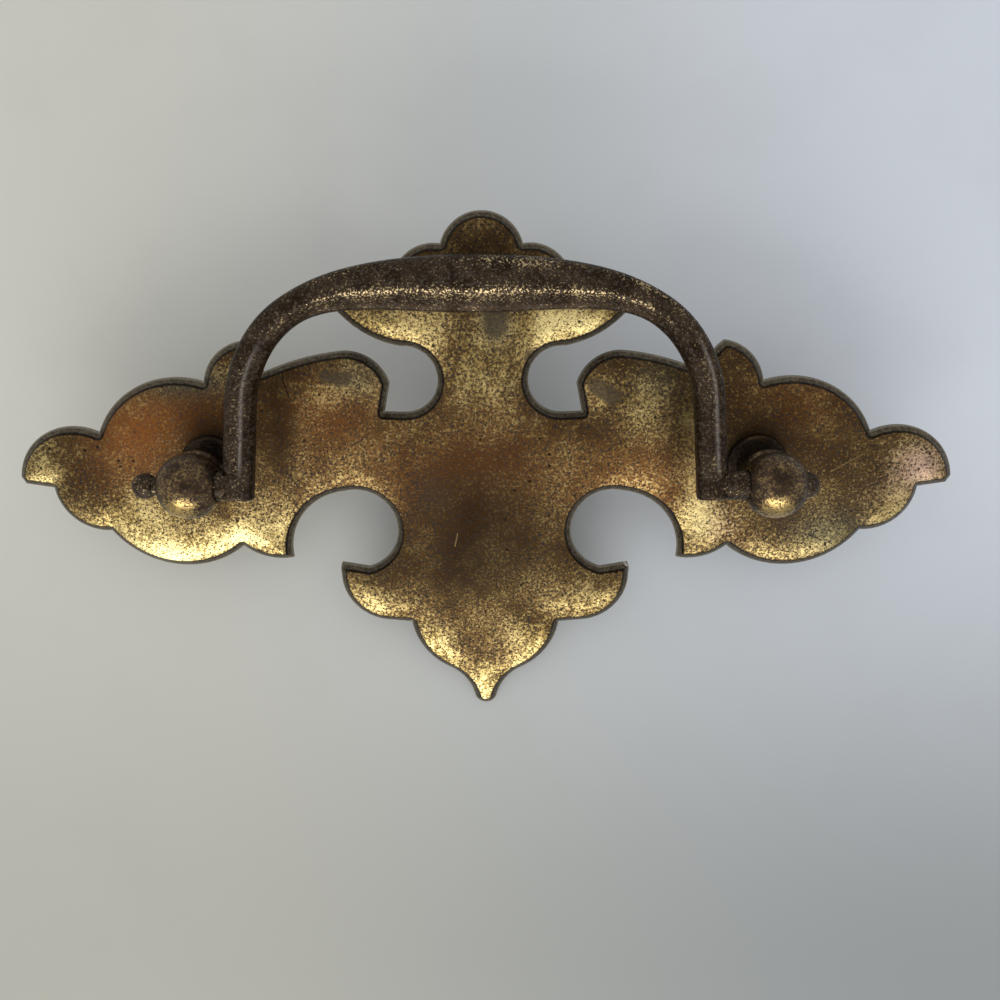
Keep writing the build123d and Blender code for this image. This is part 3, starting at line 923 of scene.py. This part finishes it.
# %% Stains, crack and scratches
STAINS = [
    ((1.9, 20.8), (1.9, 18.9), 2.5), ((6.9, 14.6), (7.6, 11.6), 2.0),
    ((15.6, 10.8), (17.8, 9.4), 1.8), ((-21.5, 12.2), (-18.8, 12.0), 1.5),
]
CRACK = [((-27.5, 14.0), (-27.4, 11.9), 0.13), ((-27.4, 11.9), (-26.6, 9.4), 0.16)]
SCORES = [((48.6, -1.3), (52.9, 1.2), 0.12), ((-3.8, -10.5), (-4.2, -12.4), 0.13)]
NICK = [((20.4, -15.5), (20.8, -15.9), 0.3)]
flat_place = add(tree, "VectorMath", place, (1, 1, 0), operation="MULTIPLY")
stains = marks(tree, flat_place, STAINS)
ragged = add(tree, "MapRange", grain, 0.3, 0.7, -0.3, 0.3, **SMOOTH)
ragged = add(tree, "Math", stains, ragged, **PLUS)
stained = add(tree, "MapRange", ragged, 0.32, 0.44, 0.0, 0.8, **SMOOTH)
colour = add(tree, "Mix", stained, colour, linear("#433A2D"), **COLOURS)
colour = coat(tree, colour, marks(tree, flat_place, CRACK), 0.9, linear("#0E0905"))
colour = coat(tree, colour, marks(tree, flat_place, SCORES), 0.55, linear("#9C8358"))
print("with marks", len(tree.nodes), "nodes")

# %% Bevel, dark line and painted highlight on the lip
band = [BEVEL_WIDE - 0.04, BEVEL_WIDE + 0.06, 1.0, 0.0]
band = add(tree, "MapRange", edge, *band, **SMOOTH)
band_colour = mottled(tree, grain, 0.3, 0.7, "#413A30", "#6A6050")
colour = coat(tree, colour, band, 0.92, band_colour)
outer = add(tree, "MapRange", edge, BEVEL_WIDE - 0.2, BEVEL_WIDE - 0.04, **SMOOTH)
inner = add(tree, "MapRange", edge, BEVEL_WIDE + 0.08, BEVEL_WIDE + 0.26, 1.0, 0.0, **SMOOTH)
seam = add(tree, "Math", outer, inner, **TIMES)
colour = coat(tree, colour, seam, 0.9, linear("#120D08"))
# A painted highlight: a pale band along the outer lip of the bevel.
lip_highlight = add(tree, "MapRange", edge, 0.1, 0.3, 1.0, 0.0, **SMOOTH)
colour = coat(tree, colour, lip_highlight, 0.48, linear("#A39C8A"))
colour = coat(tree, colour, marks(tree, flat_place, NICK), 0.8, linear("#C9C2B4"))
finish_metal(tree, colour, bare_and_highlight, specks, grain, (0.32, 0.46))
plate.data.materials.append(plate_metal)
print("material", plate_metal.name, "with", len(tree.nodes), "nodes")

# %% [markdown]
# ## Cast brass of the bail
# A casting is duller than pressed sheet, and hands leave it an even brown film. Brass shows
# only as flecks along the filed ridge and the upper edge; the flecks on the ridge are also
# a painted highlight, and the pale line down each leg is a painted highlight.

# %% Bail material
bail_metal, tree, place = new_material("cast_brass_brown_film")
grain, fine = grains(tree, place)
wide = add(tree, "TexNoise", place, METRE / 3.0, 4.0, 0.65)
rubbed_and_sheen, painted_leg_highlight = (
    add(tree, "Attribute", attribute_name=name).outputs["Fac"] for name in ("rubbed_and_sheen", "leg_highlight_line")
)
brown = mottled(tree, wide, 0.32, 0.68, "#2C2219", "#45382C")
pale_grains = add(tree, "MapRange", grain, 0.5, 0.68, 0.0, 0.5, **SMOOTH)
brown = add(tree, "Mix", pale_grains, brown, linear("#8A7860"), **COLOURS)
moved = add(tree, "Math", fine, add(tree, "Math", rubbed_and_sheen, 0.2, **TIMES), **PLUS)
drift = add(tree, "MapRange", wide, 0.35, 0.65, -0.05, 0.05, **SMOOTH)
flecks = add(tree, "MapRange", add(tree, "Math", moved, drift, **PLUS), 0.64, 0.76, **SMOOTH)
broken = add(tree, "MapRange", grain, 0.35, 0.6, 0.25, 0.85, **SMOOTH)
# Painted highlight: the pale line down each leg.
brown = coat(tree, brown, painted_leg_highlight, broken, linear("#A79C92"))
specks = speck_share(tree, grain, flecks, -0.1, 0.03)
fleck_strength = add(tree, "MapRange", rubbed_and_sheen, 0.0, 0.6, 0.35, 0.85, **SMOOTH)
colour = coat(tree, brown, flecks, fleck_strength, linear("#C9B184"))
colour = coat(tree, colour, specks, 0.6, linear("#1A130D"))
finish_metal(tree, colour, flecks, specks, grain, (0.36, 0.46))
bail.data.materials.append(bail_metal)
print("material", bail_metal.name, "with", len(tree.nodes), "nodes")

# %% [markdown]
# ## Turned brass of the posts
# The balls stand highest, so brass shows on top of them and on the side that faces the
# foot of the plate and the lamp, where it is also a painted highlight. The waist and flange
# under the ball are made near black: soot and old polish where no cloth reaches, and
# painted shade under the ball.

# %% Post material
post_metal, tree, place = new_material("turned_brass_brown_film")
grain, fine = grains(tree, place)
wide = add(tree, "TexNoise", place, METRE / 3.2, 4.0, 0.6)
rubbed_and_sheen = add(tree, "Attribute", attribute_name="rubbed_and_sheen").outputs["Fac"]
bare_and_highlight = bare_and_highlight_share(tree, rubbed_and_sheen, grain, wide, 0.3)
specks = speck_share(tree, fine, bare_and_highlight, -0.03, 0.02)
brown = mottled(tree, wide, 0.32, 0.68, "#3A2C22", "#66523F")
colour = add(tree, "Mix", bare_and_highlight, brown, linear("#C4A668"), **COLOURS)
colour = coat(tree, colour, specks, 0.8, linear("#1A120B"))
# Painted shade under the ball: the waist and flange are darkened, together with soot.
height = add(tree, "SeparateXYZ", place).outputs["Z"]
under_ball = add(tree, "MapRange", height, 6.0 * MM, 9.5 * MM, 1.0, 0.0, **SMOOTH)
above_plate = add(tree, "MapRange", height, -0.5 * MM, 0.8 * MM, **SMOOTH)
soot_and_shade = add(tree, "Math", under_ball, above_plate, **TIMES)
colour = coat(tree, colour, soot_and_shade, 0.75, linear("#171009"))
finish_metal(tree, colour, bare_and_highlight, specks, grain, (0.28, 0.4))
for post in posts.values():
    post.data.materials.append(post_metal)
print("material", post_metal.name, "with", len(tree.nodes), "nodes")

# %% [markdown]
# ## The table and the light
# The pull lies face up on a painted table, propped on its two stud ends and the tip of
# its foot. The table is the plane through those three points. A broad soft light comes
# from the lower side of the picture, as from a window, over an even grey room.

# %% Table
TABLE_HALF, TABLE_Z, TABLE_SLOPE = 900.0, -13.29, -0.3459
x, y = np.meshgrid([-TABLE_HALF, TABLE_HALF], [-TABLE_HALF, TABLE_HALF])
# Its height is TABLE_Z + TABLE_SLOPE * y, the plane that touches the low edges of both
# stud ends and the foot tip.
table_points = np.stack([x, y, TABLE_Z + TABLE_SLOPE * y], -1).reshape(-1, 3)
table = make_piece("table", table_points, [(0, 1, 3, 2)])
table_paint, tree, place = new_material("painted_board_pale_grey")
apart = add(tree, "SeparateXYZ", place).outputs
# The board is painted lighter at the top and left and darker towards the bottom and right: painted
# light and shade standing in for the fall of the lamp and the pull's soft shadow.
sideways = add(tree, "MapRange", apart["X"], -70 * MM, 70 * MM, **SMOOTH)
upper = add(tree, "Mix", sideways, linear("#D6D4C9"), linear("#DBE0E7"), **COLOURS)
lower = add(tree, "Mix", sideways, linear("#B9B7AB"), linear("#989B9B"), **COLOURS)
upwards = add(tree, "MapRange", apart["Y"], -80 * MM, 10 * MM, **SMOOTH)
colour = add(tree, "Mix", upwards, lower, upper, **COLOURS)
clouds = add(tree, "TexNoise", place, METRE / 22.0, 4.0, 0.6)
smudge = add(tree, "MapRange", clouds, 0.45, 0.75, 0.0, 0.07, **SMOOTH)
colour = add(tree, "Mix", smudge, colour, linear("#9F9D98"), **COLOURS)
add(tree, "OutputMaterial", add(tree, "BsdfPrincipled", colour, None, 0.6))
table.data.materials.append(table_paint)
print("material", table_paint.name, "with", len(tree.nodes), "nodes")


# %% Light
def softbox(name, place, size, power):
    """An area lamp of that width and height at that place in metres, facing the pull."""
    lamp = bpy.data.lights.new(name, "AREA")
    lamp.shape = "RECTANGLE"
    lamp.size, lamp.size_y = size
    lamp.energy = power
    holder = bpy.data.objects.new(name, lamp)
    holder.location = place
    holder.rotation_euler = (-Vector(place)).to_track_quat("-Z", "Y").to_euler()
    bpy.context.scene.collection.objects.link(holder)


softbox("window", (-0.07, -0.57, 0.56), (0.85, 0.42), 3.7)
world = bpy.data.worlds.new("grey_room")
bpy.context.scene.world = world
world.use_nodes = True
room = world.node_tree.nodes["Background"].inputs
room["Color"].default_value = linear("#E4E6E8")
room["Strength"].default_value = 0.84
bpy.context.scene.view_settings.view_transform = "Standard"
print("light ready")
